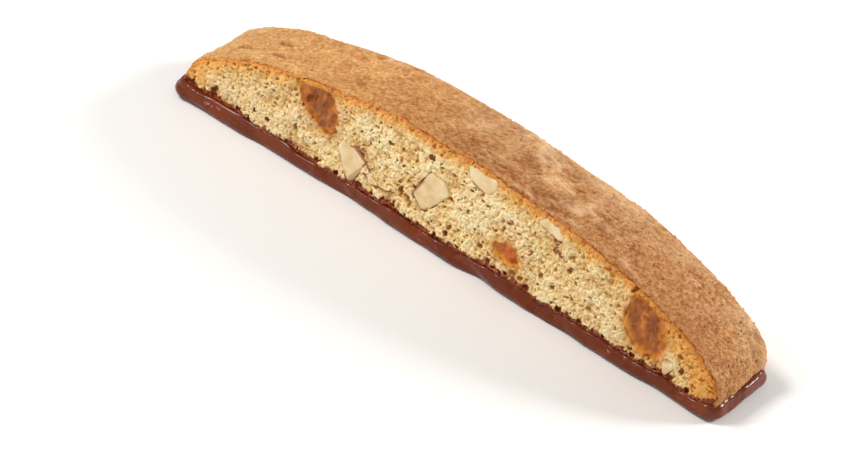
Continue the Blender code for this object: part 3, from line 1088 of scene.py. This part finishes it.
def crust_finish():
    """Tan crust, gold at the left and browner from the middle on, and finely mottled."""
    paint = Paint("baked_crust", 0.65, specular=0.15)
    x = paint.along(0)
    blotch = paint.grain(9.0, 4.0, seed=1.0)
    where = paint.plus(x, paint.spread(blotch, 0.3, 0.7, -14, 14))
    color = paint.ramp(
        paint.spread(where, -66, 66),
        (0.0, linear(255, 206, 140)), (0.30, linear(234, 172, 104)), (0.5, linear(182, 120, 64)),
        (0.75, linear(196, 130, 74)), (1.0, linear(210, 142, 86)),
    )
    fine = paint.grain(0.38, 3.0, seed=2.0)
    coarse = paint.grain(1.1, 3.0, seed=14.0)
    # darker and paler copies of the colour, mixed by paleness that is mottling plus painted light
    # and shade over the relief
    dark_mottle_and_shade = paint.filtered(1.0, color, 0.58, 0.46, 0.30)
    pale_mottle_and_light = paint.tinted(0.6, color, 250, 202, 140)
    color = paint.mix(paint.spread(paint.stored("pale"), -0.92, 0.92), dark_mottle_and_shade, pale_mottle_and_light)
    color = paint.tinted(paint.spread(fine, 0.45, 0.65, 0, 0.35), color, 140, 74, 32)
    cloudy = paint.clouds(4.0, 0.4, 0.7, 0.0, 0.3, detail=3.0, seed=11.0)
    color = paint.tinted(cloudy, color, 178, 108, 56)
    # painted sheen on the far shoulder, and painted shade on the near one
    y = paint.along(1)
    patchy = paint.clouds(6.0, 0.3, 0.7, -5, 5, detail=3.0, seed=19.0)
    painted_sheen = paint.times(paint.spread(paint.plus(y, patchy), 0, 9), paint.spread(x, -25, 5, 0, 0.32))
    color = paint.tinted(painted_sheen, color, 238, 200, 156)
    painted_shade = paint.times(paint.spread(y, 1, -8, 0, 0.6), paint.spread(x, -45, -15))
    color = paint.filtered(painted_shade, color, 0.84, 0.78, 0.72)
    # flour and painted sheen on the creases, then painted shade in the pits and pricks, and the
    # golden rim with its scorched crumbs
    color = paint.tinted(paint.times(paint.stored("flour"), 0.65), color, 240, 204, 162)
    # painted shade in the crust's pits and dents
    color = paint.tinted(paint.times(paint.stored("pit"), 0.6), color, 122, 60, 30)
    # painted shade of pinholes, as dark dots
    painted_pinholes = paint.spread(paint.cells(1.0), 0.1, 0.2, 1, 0)
    painted_pinholes = paint.times(painted_pinholes, paint.spread(where, -20, 30, 0.1, 0.9))
    color = paint.tinted(painted_pinholes, color, 110, 54, 26)
    golden = paint.times(paint.stored("rim"), paint.clouds(0.8, 0.35, 0.65, 0.0, 0.6, seed=15.0))
    color = paint.tinted(golden, color, 226, 158, 86)
    scorched = paint.times(paint.stored("rim"), paint.clouds(0.7, 0.52, 0.66, 0.0, 0.65, seed=18.0))
    color = paint.tinted(scorched, color, 160, 84, 34)
    paint.glow_through(0.35, (1.0, 0.55, 0.3), 0.5)
    paint.bump(paint.plus(fine, paint.plus(coarse, paint.grain(0.3))), 0.32)
    return paint.finish(color)


def chocolate_finish():
    """Set milk chocolate, satin with a soft gloss."""
    paint = Paint("milk_chocolate", 0.36, specular=0.08, coat=0.4, coat_roughness=0.14)
    cloudy = paint.grain(8.0, 4.0, seed=4.0)
    color = paint.ramp(cloudy, (0.3, linear(102, 42, 17)), (0.7, linear(125, 55, 25)))
    paint.give("Roughness", paint.clouds(2.0, 0.3, 0.7, 0.28, 0.46, detail=3.0))
    paint.glow_through(0.15, (1.0, 0.4, 0.2), 0.5)
    paint.bump(paint.grain(3.0, 1.0), 0.6, 0.8)
    return paint.finish(color)


def almond_finish():
    """Cut almond, with painted shade on its first worn facet, and its brown skin."""
    paint = Paint("chopped_almond", 0.42)
    cloudy = paint.grain(2.5, seed=6.0)
    color = paint.ramp(cloudy, (0.3, linear(226, 194, 138)), (0.7, linear(246, 224, 178)))
    # painted shade on the worn facet
    color = paint.tinted(paint.times(paint.stored("chip"), 0.75), color, 196, 162, 104)
    color = paint.tinted(paint.times(paint.stored("skin"), 0.9), color, 158, 92, 60)
    paint.glow_through(0.3, (1.0, 0.7, 0.45), 0.5)
    paint.bump(paint.grain(0.4, 3.0), 0.06, 0.6)
    return paint.finish(color)


def caramel_finish():
    """Amber caramel, browner in its cloudy middle, and glossy."""
    paint = Paint("melted_caramel", 0.22, specular=0.1, coat=0.45, coat_roughness=0.1)
    flat = (1, 1, 0.7)
    cloud = paint.clouds(2.6, 0.35, 0.65, -0.18, 0.45, detail=3.0, stretch=flat, seed=7.0)
    color = paint.ramp(
        paint.plus(paint.times(paint.stored("core"), 0.5), cloud),
        (0.0, linear(224, 154, 58)), (0.35, linear(204, 126, 36)),
        (0.65, linear(184, 106, 36)), (1.0, linear(148, 78, 26)),
    )
    color = paint.tinted(paint.times(paint.stored("ruddy"), 0.65), color, 202, 86, 32)
    paint.glow_through(0.5, (1.0, 0.55, 0.2), 0.9)
    paint.bump(paint.grain(1.0, 1.0, flat), 0.5)
    return paint.finish(color)


# ---- the stage

FLOOR = [(-3, -3, 0), (3, -3, 0), (3, 3, 0), (-3, 3, 0)]  # metres, as are all places below
FLOOR_DARK, FLOOR_PALE = (0.88, 0.88, 0.88), (0.9, 0.9, 0.9)
LAMPS = (  # name, place, size, power and colour
    ("key", (-0.30, -0.19, 0.52), 0.16, 2.3, (1, 0.97, 0.93)),
    ("front", (-0.22, -0.50, 0.15), 0.03, 0.12, (1, 0.98, 0.95)),
    ("sparkle", (-0.30, -0.30, 0.42), 0.03, 0.5, (1, 0.98, 0.95)),
    ("behind", (0.40, 0.48, 0.32), 0.2, 3.6, (1, 0.98, 0.95)),
)
LAMP_AIM = Vector((0, 0, 0.01))
WORLD_COLOR, WORLD_STRENGTH = (1, 0.98, 0.96, 1), 0.36
CAMERA_PLACE = (0.27408, -0.47971, 0.41543)
CAMERA_RIGHT = Vector((0.77889, 0.60389, 0.16925))
CAMERA_DOWN = Vector((0.48002, -0.40036, -0.78057))
CAMERA_FORWARD = Vector((-0.40362, 0.68923, -0.60171))
CAMERA_LENS = 144.35


def floor():
    """A pale floor, with the faintest unevenness."""
    mesh = bpy.data.meshes.new("floor")
    mesh.from_pydata(FLOOR, [], [(0, 1, 2, 3)])
    obj = into_scene("floor", mesh)
    obj.location.z = -0.02 * MM
    paint = Paint("floor", 0.8, specular=0.1)
    shades = paint.ramp(paint.grain(200.0), (0.3, FLOOR_DARK), (0.7, FLOOR_PALE))
    mesh.materials.append(paint.finish(shades))


def light_up():
    """Soft studio light from the left and from behind."""
    scene = bpy.context.scene
    scene.view_settings.view_transform = "Standard"
    world = bpy.data.worlds.new("studio")
    world.use_nodes = True
    background = world.node_tree.nodes["Background"]
    background.inputs[0].default_value = WORLD_COLOR
    background.inputs[1].default_value = WORLD_STRENGTH
    scene.world = world
    for name, place, size, power, color in LAMPS:
        light = bpy.data.lights.new(name, "AREA")
        light.shape = "DISK"
        light.size = size
        light.energy = power
        light.color = color
        obj = into_scene(name, light)
        obj.location = place
        obj.rotation_euler = (LAMP_AIM - obj.location).to_track_quat("-Z", "Y").to_euler()


def camera():
    """The photo's viewing angle."""
    data = bpy.data.cameras.new("camera")
    data.sensor_width = 36
    data.lens = CAMERA_LENS
    data.clip_start = 0.01
    obj = into_scene("camera", data)
    turn = Matrix((CAMERA_RIGHT, -CAMERA_DOWN, -CAMERA_FORWARD)).transposed().to_4x4()
    obj.matrix_world = Matrix.Translation(CAMERA_PLACE) @ turn
    bpy.context.scene.camera = obj


crumb_paint = crumb_finish()
crumb("front", crumb_paint)
crumb("back", crumb_paint)
crust(crust_finish())
chocolate_coat(chocolate_finish())
nut_paint = almond_finish()
for almond_node in ALMONDS:
    almond(almond_node, nut_paint)
melt_paint = caramel_finish()
for caramel_node in CARAMELS:
    toffee(caramel_node, melt_paint)
floor()
light_up()
camera()
